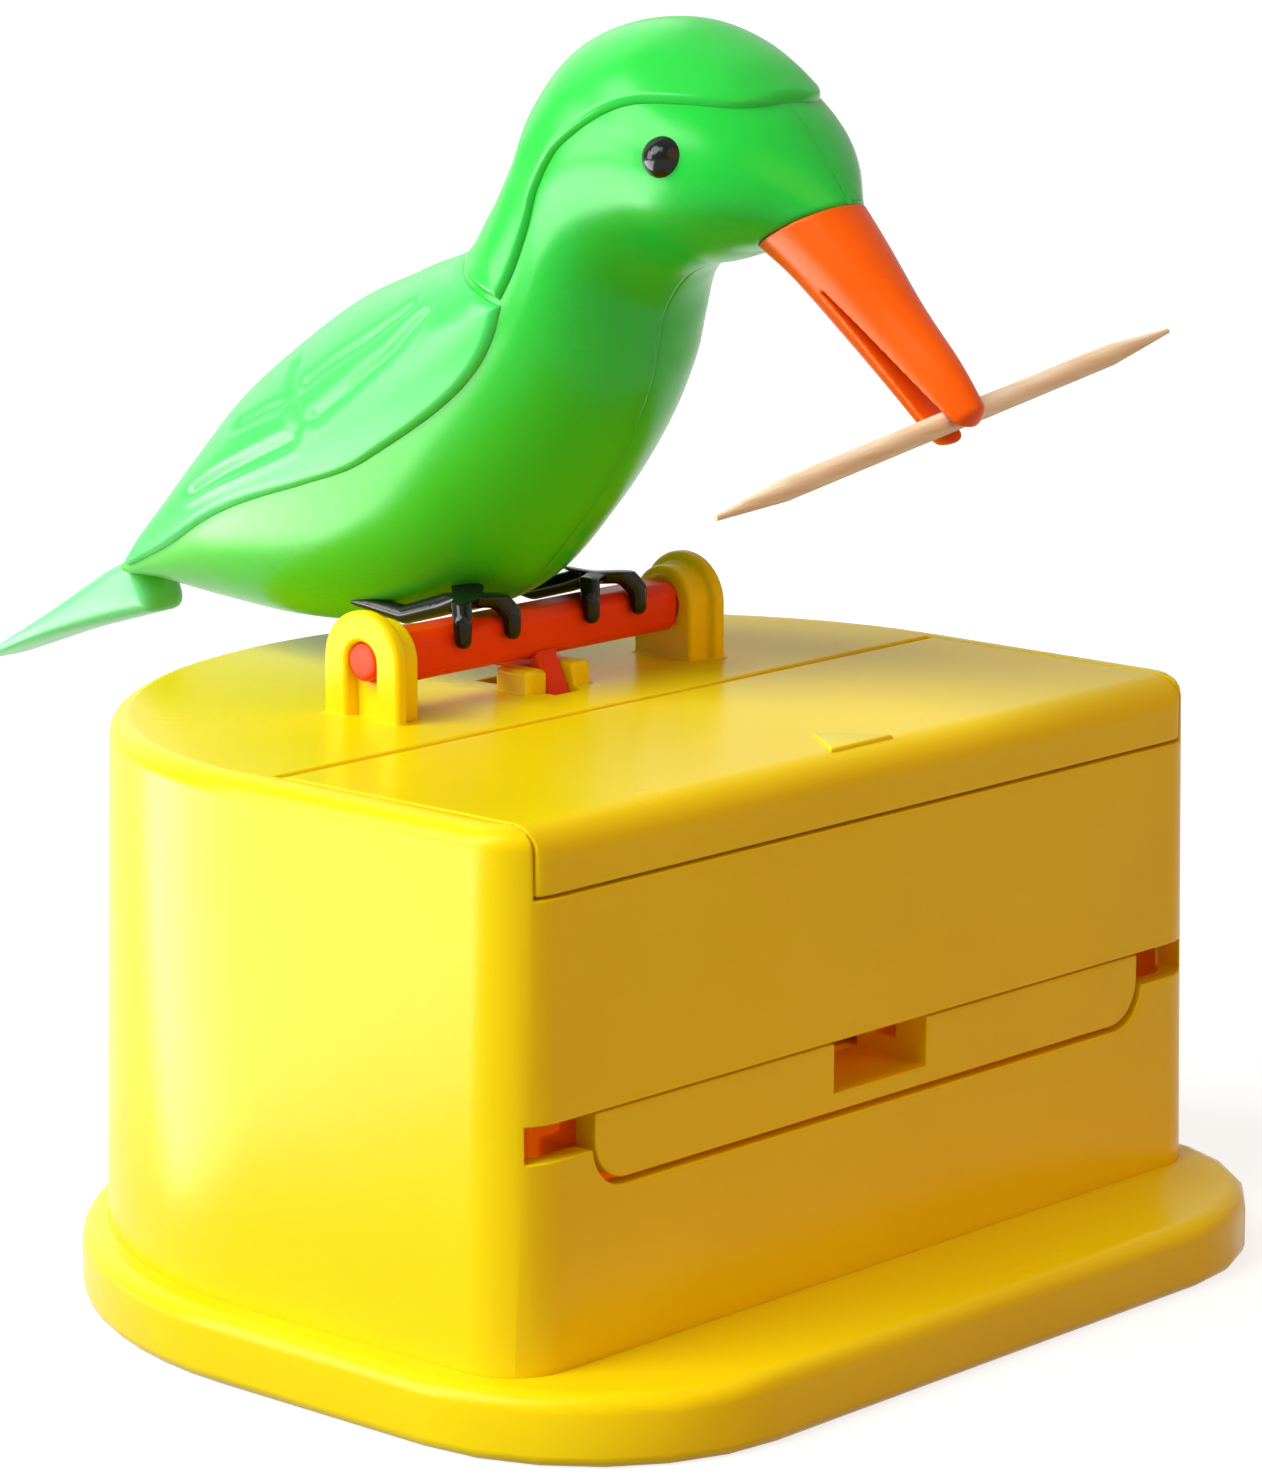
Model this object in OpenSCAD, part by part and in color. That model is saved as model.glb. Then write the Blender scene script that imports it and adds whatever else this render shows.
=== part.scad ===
// Toothpick dispenser: a bird on a perch bar over a D-shaped hopper housing.
// Pressing the bird forward swings a finger under the bar, which turns a
// rocker and pushes the tray out with one toothpick in its groove.
// Millimetres. Origin at the bottom of the base, +Z up, the tray faces -Y.

/* [Toothpick] */
// Length of a toothpick
pick_len = 65; // [60:0.5:68]
// Diameter of a toothpick
pick_d = 2.0; // [1.8:0.1:2.2]

/* [Base] */
// Thickness of the base plate
base_t = 6.5; // [5:0.5:9]
// How far the base reaches past the housing at the sides
base_side = 4; // [3:0.2:7]
// How far the base reaches past the housing at the front
base_front = 14.5; // [8:0.5:18]
// How far the base reaches past the housing at the back
base_back = 2.2; // [1.6:0.2:6]
// Plan radius of the base's front corners
base_corner = 22; // [14:1:26]

/* [Housing] */
// Width of the housing at its top edge
body_w = 96; // [94:1:104]
// Height of the top deck above the table
body_top = 54; // [52:0.5:60]
// Distance from the frame's Y = 0 to the front wall
front_y = 31.2; // [30:0.2:36]
// Distance from the frame's Y = 0 to the rearmost point
back_y = 46.4; // [42:0.2:52]
// Plan radius of the two front corners
corner_r = 5; // [4:0.5:6]
// Radius of the deck's rounded edge
edge_r = 2; // [1:0.2:2.6]
// Wall thickness
wall = 2.2; // [1.8:0.1:2.6]
// Draft of the walls, in millimetres of width for each millimetre of height
draft = 0.017; // [0:0.001:0.03]
// Height of the tray slot's top edge
slot_top = 28.3; // [27:0.1:30]

/* [Lid] */
// Distance from the frame's Y = 0 to the lid's back seam
seam_y = 0.2; // [-1:0.1:1]
// Thickness of the lid plate
lid_t = 2.2; // [1.8:0.1:2.6]
// Depth of the lid's front lip
lip_h = 6; // [4.5:0.5:8]
// Gap between the lid and the housing
lid_gap = 0.25; // [0.2:0.05:0.4]
// Width of the housing's rim beside the lid
lid_rim = 2.9; // [2.6:0.1:3.4]

/* [Tray] */
// Room beside the tray for its rail, a screw pillar and the wall
tray_side = 9.8; // [9.4:0.1:10.4]
// Height of the tray's front panel
tray_h = 6.5; // [6:0.1:7.5]
// How far the tray slides out
stroke = 8; // [6:0.5:8.5]
// Width of the notch for the beak
notch_w = 13; // [10:0.5:16]
// Depth of the notch for the beak
notch_h = 4.8; // [4.4:0.1:5]

/* [Perch] */
// Height of the perch axis above the deck
perch_h = 5.3; // [5:0.1:6]
// Distance from the frame's Y = 0 to the perch axis
perch_y = 11.8; // [11:0.1:13]
// Length of the bar between its journals
bar_len = 36.8; // [34:0.2:40]
// Height of the bar's section
bar_h = 4.7; // [4:0.1:5]
// Depth of the bar's section
bar_d = 4.4; // [3.8:0.1:4.8]
// Diameter of the journals
journal_d = 3.6; // [3:0.1:3.8]
// Width of a bracket from front to back
bracket_w = 9.5; // [8.5:0.1:11]
// Tilt of the bird when it is pressed all the way
tilt_max = 52; // [46:1:52]

/* [Mechanism] */
// Distance from the perch axis to the finger's tip
finger_len = 14; // [13.5:0.1:14.5]
// Diameter of the rocker's pin
pin_d = 3; // [2.5:0.1:3.4]
// Diameter of the spring's coil
spring_d = 5.4; // [4.8:0.2:5.8]
// Diameter of the spring's wire
wire_d = 0.8; // [0.6:0.1:0.9]
// Turns of the spring
spring_turns = 9; // [7:1:10]

/* [Bird] */
// Wall of the two body shells
shell_t = 1.8; // [1.4:0.1:2.2]
// Thickness of the crest and wing plates
plate_t = 1.3; // [1:0.1:1.5]
// Diameter of an eye
eye_d = 3.9; // [3.6:0.1:4.4]
// Distance between the middles of the feet
foot_gap = 17.5; // [16:0.5:21]

/* [Hidden] */
$fn = 48;
eps = 0.01;
cut = 1;                                   // how far a cutter runs past a face
run = 0.05;                                // radial clearance of a running fit
slide = 0.3;                               // gap of a sliding fit
seat = 0.02;                               // gap where one piece is seated on another

// Colours as moulded
yellow = [0.96, 0.80, 0.02];
green = [0.20, 0.80, 0.28];
orange = [0.95, 0.38, 0.04];

// Housing
half_w = body_w / 2;
arc_y = 1;                                 // where the straight sides meet the rear curve
deck_t = 2.2;
deck_under = body_top - deck_t;
base_fillet = 1.8;
foot_fillet = 1.2;

// Lid
lid_w = half_w - lid_rim;                  // half width of the lid's place
lid_r = lid_t / 2;
hinge_y = seam_y - lid_gap - lid_r;
hinge_z = body_top - lid_r;
hinge_d = 1.6;
hinge_len = 1.2;
lip_z = body_top - lip_h;

// Perch and its brackets
perch_z = body_top + perch_h;
cheek_t = 2.5;
arch_t = 1.5;
cheek_r = 3.7;
cheek_x = bar_len / 2 + 0.25;              // inner face of a bracket
guide_x = 1.9;                             // inner face of the finger's guides
guide_t = 2.5;
guide_h = 2.3;                             // height of the guides above the deck

// Tray and the groove that carries one toothpick
slot_gap = 0.5;                            // gap under and beside the tray's panel
end_slot_w = 7.4;                          // width of the open slot at each end of the panel
end_slot_h = 3.2;
tray_r = 4;                                // radius of the panel's lower corners
tray_top = slot_top - 0.2;
tray_z = slot_top - tray_h;
groove_w = pick_d + 0.6;
groove_y = -front_y + 4.8;
shutter_y = groove_y + stroke + 4;         // the tray's top closes the throat this far back
flange_t = 2.2;
tray_w = body_w - 2 * tray_side;
rail_x = tray_w / 2 - 2.2;                 // half width of the sliding flange
rail_front = -front_y + wall + 6;
rail_back = 0;
flange_back = rail_back - 3;
tail_w = 5.8;                              // width of the tail that reaches the rocker

// Linkage: finger and rocker swing by the same angle, mirrored about their mid point
half_tilt = tilt_max / 2;
finger_w = 3;
finger_r = 1;                              // half thickness of the finger above its tip
tip_r = 1.8;
finger_reach = (perch_z - deck_under) * tan(half_tilt) + finger_r / cos(half_tilt) + slide;    // half the finger's slot
pivot_y = perch_y;
pivot_z = perch_z - 2 * finger_len * cos(half_tilt);
lower_len = stroke / (2 * sin(half_tilt));
lobe_r = 1.6;
tail_t = 1.3;
tail_z = pivot_z - lower_len - lobe_r - slide - tail_t;    // the lobe swings just clear of the tail
fork_gap = 0.6;                            // play of the finger's tip in the fork
fork_t = 2;
hub_r = pin_d / 2 + 2.2;
post_x = 3.4;                              // inner face of a rocker post
post_t = 3;
arm_len = 11.8;
arm_r = 1.3;
heel_r = 3;                                // round heel that rolls on the spring's top
spring_y = pivot_y + arm_len * cos(half_tilt);
cup_z = base_t + 2.8;
spring_top = pivot_z + arm_len * sin(half_tilt) - heel_r - seat;

// Screws
screw_d = 3;
screw_head_d = 5.8;
screw_len = 14;
screw_sink = 2.2;
pillar_r = 3;
pillar_h = 20;
screw_wall = 2;                            // distance from a screw to the wall's inner face
rear_screw = 50;                           // angle of the rear screws on the rear curve
rear_x = (half_w - wall - screw_wall) * cos(rear_screw);
rear_y = arc_y + (back_y - arc_y - wall - screw_wall) * sin(rear_screw);
side_x = half_w - wall - screw_wall;
screw_at = [[-side_x, -15], [side_x, -15], [-rear_x, rear_y], [rear_x, rear_y]];

// Bird, as sections from the beak to the tail: back point y, z, belly point y, z, half width
BIRD = [[-26.7, 102.2, -18, 97.6, 5], [-23.6, 106.3, -16.5, 97.2, 8.5], [-20, 110.2, -15, 96.6, 10.7],
        [-15.1, 113.6, -13, 96, 12], [-8, 116.3, -10.6, 95.5, 12.6], [-0.7, 115.1, -8, 94.4, 12.6],
        [3.9, 110.9, -6.2, 92.6, 12.2], [6.5, 105.6, -5, 90.5, 12], [9.7, 100.1, -4.3, 87.4, 12.3],
        [14, 95.8, -3.3, 83.5, 13], [20.7, 92.5, -0.2, 77.4, 14], [28.1, 89.4, 5.6, 69.8, 15],
        [35.3, 85, 13.2, 62.6, 15.2], [42.9, 79.5, 24, 59, 14.2], [49.5, 73.1, 36, 57.6, 12],
        [56, 66.7, 47, 58, 9], [61.3, 61.8, 56.5, 58.8, 6], [65.2, 59.9, 62, 58.6, 3.8]];
half_sides = 16;                           // facets round one half of a section
skin_min = 0.5;                            // the hollow never closes up at the tail
sub = 2;                                   // rings for each section
plate_sink = 0.4;                          // depth of a plate below the skin before it is fitted
// Edge of each plate as [section, degrees from the back line]
CREST_EDGE = [[2, 14], [2.7, 40], [3.5, 58], [4.1, 70], [4.8, 80], [6, 84], [7.2, 88], [9.3, 90]];
WING_EDGE = [[8.4, 91], [9.4, 101], [10.2, 102], [11.4, 96], [12.2, 88], [13.8, 78], [15, 78], [16.6, 70]];
eye_at = [2.95, 79.5];
eye_sink = 0.9;
eye_seat = 0.04;

// Beak and toothpick
BEAK = [[-26.7, 102.2, -18, 97.6, 5], [-29.8, 98.8, -21.8, 95.1, 4.4], [-34.3, 93.8, -27.3, 90.4, 3.3],
        [-38.7, 89.4, -32.5, 85.9, 2.5], [-41.3, 86.2, -36.6, 82.6, 2], [-42, 85, -38, 81.8, 1.2]];
beak_dir = [0, -0.745, -0.667];
pick_at = [0, -38.5, 84.2];
pick_yaw = 6.5;
pick_roll = 5.3;                           // the toothpick leans across the slit
slit_root = 19;                            // length of the slit from the toothpick back
slit_min = 0.9;
slit_w = pick_d / cos(pick_roll) + 2 * 1.9 * tan(pick_roll);

// Tail, as sections like the bird's
TAIL = [[63, 60.6, 60.6, 55.2, 2.8], [67.2, 58.8, 65, 53.9, 3.6], [75.5, 53.6, 74, 51.2, 4],
        [82, 49.9, 81.4, 48.6, 3.6], [85.6, 47.9, 85.2, 47.2, 2.6]];

// Feet
toe_r = 0.95;
toe_x = 3.3;                               // a front toe's distance from the foot's middle

// ---- plan outlines -------------------------------------------------------

// D-shaped outline: rounded front corners, straight sides, rear half ellipse
function plan(a, front, back, r) = concat(
    [for (t = [-90:15:0]) [a - r + r * cos(t), -front + r + r * sin(t)]],
    [for (t = [0:5:180]) [a * cos(t), arc_y + (back - arc_y) * sin(t)]],
    [for (t = [180:15:270]) [-a + r + r * cos(t), -front + r + r * sin(t)]]);

module body_slab(inset, z, t = eps)
    translate([0, 0, z])
        linear_extrude(t)
            polygon(plan(half_w - inset, front_y - inset, back_y - inset, max(corner_r - inset, 1)));

module base_slab(inset, z, t = eps)
    translate([0, 0, z])
        linear_extrude(t)
            polygon(plan(half_w + base_side - inset, front_y + base_front - inset,
                         back_y + base_back - inset, base_corner - inset));

// Drafted outer body with a rounded deck edge; inset makes the cavity
module body_block(bottom)
    hull() {
        body_slab(-draft * (body_top - bottom), bottom);
        for (a = [0:22.5:90])
            body_slab(edge_r * (1 - cos(a)), body_top - eps - edge_r * (1 - sin(a)));
    }

// ---- base -------------------------------------------------------------------

module base_plate() {
    ring_in = wall + slide - draft * (body_top - base_t);
    color(yellow)
        difference() {
            union() {
                hull() {
                    for (a = [0:30:90]) {
                        base_slab(foot_fillet * (1 - cos(a)), foot_fillet * (1 - sin(a)));
                        base_slab(base_fillet * (1 - cos(a)), base_t - eps - base_fillet * (1 - sin(a)));
                    }
                }
                difference() {
                    body_slab(ring_in, base_t - cut, cut + 3);
                    body_slab(ring_in + 1.6, base_t - 2 * cut, 3 * cut + 4);
                    for (p = screw_at)
                        translate([p.x, p.y, base_t])
                            cylinder(r = pillar_r + slide, h = 10);
                }
            }
            for (p = screw_at)
                translate([p.x, p.y, 0]) {
                    cylinder(d = screw_d + 0.4, h = base_t + cut);
                    cylinder(d = screw_head_d + 0.4, h = screw_sink + 0.9);
                }
        }
}

module base_screw(i) {
    head_z = screw_sink + 0.9;
    color("silver")
        translate([screw_at[i].x, screw_at[i].y, head_z])
            difference() {
                union() {
                    translate([0, 0, -1.8])
                        cylinder(d = screw_head_d, h = 1.8);
                    cylinder(d = screw_d, h = screw_len);
                }
                for (a = [0, 90])
                    rotate(a)
                        translate([-1.7, -0.4, -1.8 - eps])
                            cube([3.4, 0.8, 1]);
            }
}

// ---- housing ----------------------------------------------------------------

// One end bracket on the +X side: bearing cheek inside, slotted arch outside
module bracket() {
    arch_r = bracket_w / 2;
    difference() {
        union() {
            translate([cheek_x, perch_y, perch_z])
                rotate([0, 90, 0])
                    cylinder(r = cheek_r, h = cheek_t + eps);
            translate([cheek_x, perch_y - cheek_r, deck_under + eps])
                cube([cheek_t + eps, 2 * cheek_r, perch_z - deck_under]);
            translate([cheek_x + cheek_t, perch_y, perch_z])
                rotate([0, 90, 0])
                    cylinder(r = arch_r, h = arch_t);
            translate([cheek_x + cheek_t, perch_y - arch_r, deck_under + eps])
                cube([arch_t, 2 * arch_r, perch_z - deck_under]);
        }
        translate([cheek_x - cut, perch_y, perch_z])
            rotate([0, 90, 0])
                cylinder(d = journal_d + 2 * run, h = cheek_t + arch_t + 2 * cut);
        translate([cheek_x + cheek_t, perch_y - journal_d / 2 - run, body_top])
            cube([arch_t + cut, journal_d + 2 * run, perch_z - body_top]);
    }
}

module finger_guide()
    translate([guide_x, perch_y - 3.8, deck_under + eps])
        cube([guide_t, 4.2, deck_t + guide_h]);

// Opening in the front wall: wide slot above, the panel's outline below
module front_slot() {
    x = tray_w / 2 + slot_gap;
    translate([0, -front_y + wall + cut, 0])
        rotate([90, 0, 0])
            linear_extrude(wall + 4 * cut) {
                translate([-x - end_slot_w, slot_top - end_slot_h])
                    square([2 * (x + end_slot_w), end_slot_h]);
                difference() {
                    translate([-x, tray_z - slot_gap])
                        square([2 * x, tray_h + slot_gap]);
                    for (s = [-1, 1])
                        translate([s * (x - tray_r), tray_z - slot_gap + tray_r])
                            difference() {
                                translate([s > 0 ? 0 : -tray_r - eps, -tray_r - eps])
                                    square([tray_r + eps, tray_r + eps]);
                                circle(r = tray_r);
                            }
                }
            }
}

module housing()
    color(yellow)
        difference() {
            union() {
                difference() {
                    body_block(base_t + eps);
                    hull() {
                        body_slab(wall - draft * (body_top - base_t), base_t - cut);
                        body_slab(wall, deck_under);
                    }
                }
                for (s = [0, 1])
                    mirror([s, 0, 0]) {
                        bracket();
                        finger_guide();
                    }
                intersection() {
                    for (p = screw_at)
                        translate([p.x, p.y, base_t + eps])
                            cylinder(r = pillar_r, h = pillar_h);
                    body_slab(wall / 2, 0, body_top);
                }
            }
            // the lid's place, open to the hopper below
            translate([-lid_w, -front_y - 2 * cut, lip_z - lid_gap])
                cube([2 * lid_w, front_y + seam_y + 2 * cut, body_top]);
            front_slot();
            // bores of the lid's pins
            translate([-lid_w - hinge_len - slide, hinge_y, hinge_z])
                rotate([0, 90, 0])
                    cylinder(d = hinge_d + 2 * run, h = 2 * (lid_w + hinge_len + slide));
            // the finger's slot through the deck
            translate([-guide_x, perch_y - finger_reach, deck_under - cut])
                cube([2 * guide_x, 2 * finger_reach, deck_t + 2 * cut]);
            for (p = screw_at)
                translate([p.x, p.y, base_t - cut])
                    cylinder(d = screw_d, h = screw_len);
        }

// ---- hopper, chassis and mechanism -----------------------------------------

hop_x = pick_len / 2 + 1.2;                // half length of the hopper's inside
hop_wall = 1.4;
hop_top = deck_under - 0.2;
hop_back = hinge_y - lid_r - 0.6;
throat_z = slot_top + 0.3;
throat_w = groove_w;
hop_chamfer = 2.8;                         // clears the lid behind its lip

// Side view of the hopper: thin front wall, steep back, sloping floor, open throat
module hopper_side(inset) {
    y0 = -front_y + wall + 0.3;
    top = hop_top + (inset > 0 ? cut : 0);
    polygon([[y0 + inset + hop_chamfer, top],
             [y0 + inset, top - hop_chamfer],
             [y0 + inset, throat_z + 4],
             [groove_y - throat_w / 2 - hop_wall + inset, throat_z - (inset > 0 ? cut : 0)],
             [groove_y + throat_w / 2 + hop_wall - inset, throat_z - (inset > 0 ? cut : 0)],
             [groove_y + throat_w / 2 + hop_wall - inset + 1, throat_z + 1.2 + inset * 0.4],
             [hop_back - inset, throat_z + 17 + inset * 0.8],
             [hop_back - inset, top]]);
}

module hopper()
    color(yellow)
        difference() {
            union() {
                rotate([90, 0, 90])
                    translate([0, 0, -hop_x - hop_wall])
                        linear_extrude(2 * (hop_x + hop_wall))
                            hopper_side(0);
                // ears that stand on the chassis rails
                for (s = [0, 1])
                    mirror([s, 0, 0])
                        translate([hop_x, hop_back - 7, rail_top])
                            cube([max(hop_wall, rail_x - hop_x), 7, hop_top - rail_top]);
            }
            rotate([90, 0, 90])
                translate([0, 0, -hop_x])
                    linear_extrude(2 * hop_x)
                        hopper_side(hop_wall);
        }

rail_t = 1.6;
floor_t = 1.6;
floor_x = 18;                              // half width of the floor behind the rails
floor_back = spring_y + spring_d / 2 + 4;
rail_top = tray_z + flange_t + slide + rail_t;

module chassis() {
    post_y = pivot_y - 4;
    color(yellow)
        difference() {
            union() {
                translate([-rail_x - 1.6, rail_front, base_t])
                    cube([2 * (rail_x + 1.6), rail_back - rail_front, floor_t]);
                translate([-floor_x, rail_front, base_t])
                    cube([2 * floor_x, floor_back - rail_front, floor_t]);
                // tray rails, open towards the middle
                for (s = [0, 1])
                    mirror([s, 0, 0])
                        translate([rail_x - 2.4, rail_front, base_t])
                            cube([4, rail_back - rail_front, rail_top - base_t]);
                // rocker posts with a gusset at the foot
                for (s = [0, 1])
                    mirror([s, 0, 0]) {
                        translate([post_x, post_y, base_t])
                            cube([post_t, 8, pivot_z - base_t]);
                        translate([post_x, pivot_y, pivot_z])
                            rotate([0, 90, 0])
                                cylinder(r = 4, h = post_t);
                        translate([post_x + post_t - eps, pivot_y - 1, base_t + floor_t - eps])
                            rotate([90, 0, 0])
                                translate([0, 0, -2])
                                    linear_extrude(2)
                                        polygon([[0, 0], [8, 0], [0, 12]]);
                    }
                translate([0, spring_y, base_t])
                    cylinder(d = spring_d + 4, h = cup_z - base_t + 3);
            }
            for (s = [0, 1])
                mirror([s, 0, 0])
                    translate([0, -front_y, tray_z - slide / 2])
                        cube([rail_x + slide, front_y + rail_back + cut, flange_t + slide]);
            translate([post_x - cut, pivot_y, pivot_z])
                rotate([0, 90, 0])
                    cylinder(d = pin_d, h = post_t + 2 * cut);
            translate([-post_x - post_t - cut, pivot_y, pivot_z])
                rotate([0, 90, 0])
                    cylinder(d = pin_d, h = post_t + 2 * cut);
            translate([0, spring_y, cup_z])
                cylinder(d = spring_d + 0.6, h = 10);
        }
}

module rocker_pin()
    color("silver")
        translate([-post_x - post_t - 1, pivot_y, pivot_z])
            rotate([0, 90, 0])
                cylinder(d = pin_d, h = 2 * (post_x + post_t + 1));

// Flat arm from p to q in the Y-Z plane with a rounder end at q, centred on X = 0
module arm(p, q, half, end_r, end_w) {
    d = q - p;
    translate([-finger_w / 2, p.x, p.y])
        rotate([atan2(d.y, d.x), 0, 0])
            translate([0, 0, -half])
                cube([finger_w, norm(d), 2 * half]);
    translate([-end_w / 2, q.x, q.y])
        rotate([0, 90, 0])
            cylinder(r = end_r, h = end_w);
}

// Fork for the finger's tip, along +Z from the pivot
module fork() {
    inside = tip_r + fork_gap;
    outside = inside + fork_t;
    from = 2 * finger_len * cos(half_tilt) - finger_len - tip_r - 1.2;
    to = finger_len + 0.4;
    rotate([90, 0, 90])
        translate([0, 0, -finger_w / 2])
            linear_extrude(finger_w)
                polygon([[-1.8, hub_r - 1.2], [1.8, hub_r - 1.2], [outside, from - 1.5], [outside, to], [inside, to],
                         [inside, from], [-inside, from], [-inside, to], [-outside, to], [-outside, from - 1.5]]);
}

module rocker() {
    pivot = [pivot_y, pivot_z];
    color(orange)
        difference() {
            union() {
                translate([-post_x + slide, pivot_y, pivot_z])
                    rotate([0, 90, 0])
                        cylinder(r = hub_r, h = 2 * (post_x - slide));
                translate([0, pivot_y, pivot_z])
                    rotate([half_tilt, 0, 0])
                        fork();
                // lower arm to the tray
                arm(pivot, pivot + lower_len * [sin(half_tilt), -cos(half_tilt)], arm_r, lobe_r, finger_w);
                // rear arm and its heel on the spring
                arm(pivot, pivot + arm_len * [cos(half_tilt), sin(half_tilt)], arm_r, heel_r, spring_d);
            }
            translate([-post_x, pivot_y, pivot_z])
                rotate([0, 90, 0])
                    cylinder(d = pin_d + 2 * run, h = 2 * post_x);
        }
}

// Compression spring: one unbroken wire, closed at both ends
spring_free = spring_top - cup_z;
coil_r = (spring_d - wire_d) / 2;
ring_steps = 8;
end_turns = 1;
function coil_z(t) =
    let (lead = wire_d * 1.02, open = (spring_free - wire_d - 2 * end_turns * lead) / (spring_turns - 2 * end_turns))
    t < end_turns ? t * lead
    : t > spring_turns - end_turns ? spring_free - wire_d - (spring_turns - t) * lead
    : end_turns * lead + (t - end_turns) * open;
function coil_at(i) =
    let (t = i / ring_steps)
    [coil_r * cos(360 * t), spring_y + coil_r * sin(360 * t), cup_z + wire_d / 2 + coil_z(t)];

module return_spring() {
    sides = 6;
    color("silver")
        loft([for (i = [0:spring_turns * ring_steps])
              let (c = coil_at(i), a = 360 * i / ring_steps, u = [cos(a), sin(a), 0])
              [for (k = [0:sides - 1]) c + wire_d / 2 * (u * cos(60 * k) + [0, 0, sin(60 * k)])]]);
}

module tray() {
    lobe_y = pivot_y + lower_len * sin(half_tilt);
    lobe_gap = lobe_r + slide;
    block_t = 1.5;
    top_t = 1.8;
    color(yellow)
        difference() {
            union() {
                // front panel with rounded lower corners
                translate([0, -front_y - draft * (body_top - slot_top) + 2.6, 0])
                    rotate([90, 0, 0])
                        linear_extrude(2.4)
                            difference() {
                                translate([-tray_w / 2, tray_z])
                                    square([tray_w, tray_top - tray_z]);
                                for (s = [-1, 1])
                                    translate([s * (tray_w / 2 - tray_r), tray_z + tray_r])
                                        difference() {
                                            translate([s > 0 ? 0 : -tray_r - eps, -tray_r - eps])
                                                square([tray_r + eps, tray_r + eps]);
                                            circle(r = tray_r);
                                        }
                            }
                // groove block and the shutter behind it
                translate([-rail_x + 3, -front_y + 1.6, tray_z])
                    cube([2 * (rail_x - 3), groove_y + groove_w / 2 + 2 + front_y - 1.6, tray_top - tray_z]);
                translate([-rail_x + 3, groove_y, tray_top - top_t])
                    cube([2 * (rail_x - 3), shutter_y - groove_y, top_t]);
                // flange that runs in the rails
                translate([-rail_x, -front_y + wall + 3, tray_z])
                    cube([2 * rail_x, flange_back + front_y - wall - 3, flange_t]);
                for (s = [-1, 0, 1])
                    translate([s * (rail_x - 3.8) - 0.8, groove_y, tray_z])
                        cube([1.6, shutter_y - groove_y, tray_top - tray_z]);
                // tail to the rocker
                translate([-tail_w / 2, flange_back - 1.6, min(tail_z, tray_z)])
                    cube([tail_w, 1.6, max(tail_z + tail_t, tray_z + flange_t) - min(tail_z, tray_z)]);
                translate([-tail_w / 2, flange_back - 1.6, tail_z])
                    cube([tail_w, lobe_y + lobe_gap + block_t - flange_back + 1.6, tail_t]);
                translate([-tail_w / 2, lobe_y - lobe_gap - block_t, tail_z])
                    cube([tail_w, 2 * (lobe_gap + block_t), 4]);
            }
            translate([-tail_w, lobe_y - lobe_gap, tail_z + tail_t])
                cube([2 * tail_w, 2 * lobe_gap, 10]);
            // groove for one toothpick
            translate([-hop_x, groove_y - groove_w / 2, tray_top - groove_w])
                cube([2 * hop_x, groove_w, 10]);
            // notch for the beak
            translate([-notch_w / 2, -front_y - 2 * cut, slot_top - notch_h])
                cube([notch_w, groove_y + front_y + 4.4 + 2 * cut, 10]);
        }
}

// ---- lid --------------------------------------------------------------------

module lid_side() {
    r = 3.2;
    front = -front_y;
    polygon(concat(
        [for (a = [90:-15:-90]) [hinge_y + lid_r * cos(a), hinge_z + lid_r * sin(a)]],
        [[front + 2 + 2.4, body_top - lid_t], [front + 2, body_top - lid_t - 2.4], [front + 2, lip_z], [front, lip_z]],
        [for (a = [180:-15:90]) [front + r + r * cos(a), body_top - r + r * sin(a)]]));
}

module lid()
    color(yellow)
        union() {
            intersection() {
                translate([-lid_w + lid_gap, 0, 0])
                    rotate([90, 0, 90])
                        linear_extrude(2 * (lid_w - lid_gap))
                            lid_side();
                body_slab(0, 0, body_top + cut);
            }
            for (s = [-1, 1])
                translate([s * lid_w - (s < 0 ? hinge_len : lid_gap + eps), hinge_y, hinge_z])
                    rotate([0, 90, 0])
                        cylinder(d = hinge_d, h = hinge_len + lid_gap + eps);
        }

// ---- perch ------------------------------------------------------------------

module bar_section(grow = 0) {
    c = 0.8;
    d = bar_d / 2 + grow;
    h = bar_h / 2 + grow;
    polygon([[-d + c, -h], [d - c, -h], [d, -h + c], [d, h - c],
             [d - c, h], [-d + c, h], [-d, h - c], [-d, -h + c]]);
}

module perch_bar()
    color([0.92, 0.20, 0.04])
        translate([0, perch_y, perch_z]) {
            rotate([90, 0, 90])
                translate([0, 0, -bar_len / 2])
                    linear_extrude(bar_len)
                        bar_section();
            for (s = [-1, 1])
                translate([s * bar_len / 2 - (s < 0 ? cheek_t + arch_t : 0), 0, 0])
                    rotate([0, 90, 0])
                        cylinder(d = journal_d, h = cheek_t + arch_t);
        }

// Clip under and behind the bar with the finger below it
module drive_finger() {
    tip = finger_len * [-sin(half_tilt), -cos(half_tilt)];
    clip = 1.3;
    color(orange)
        difference() {
            union() {
                translate([-finger_w / 2, perch_y - bar_d / 2, perch_z - bar_h / 2 - clip])
                    cube([finger_w, bar_d + clip, bar_h / 2 + clip + 0.4]);
                translate([0, perch_y, perch_z])
                    arm(0.2 * tip, tip, finger_r, tip_r, finger_w);
            }
            translate([0, perch_y, perch_z])
                rotate([90, 0, 90])
                    translate([0, 0, -finger_w])
                        linear_extrude(2 * finger_w)
                            bar_section();
        }
}

// ---- bird -------------------------------------------------------------------

function spline(p, q, r, s, t) =
    0.5 * (2 * q + (r - p) * t + (2 * p - 5 * q + 4 * r - s) * t * t + (3 * q - p - 3 * r + s) * t * t * t);
function row(list, i) =
    i < 0 ? 2 * list[0] - list[1]
    : i >= len(list) ? 2 * list[len(list) - 1] - list[len(list) - 2]
    : list[i];
function section(list, s) =
    let (i = min(max(floor(s), 0), len(list) - 2))
    spline(row(list, i - 1), row(list, i), row(list, i + 1), row(list, i + 2), s - i);
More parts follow.
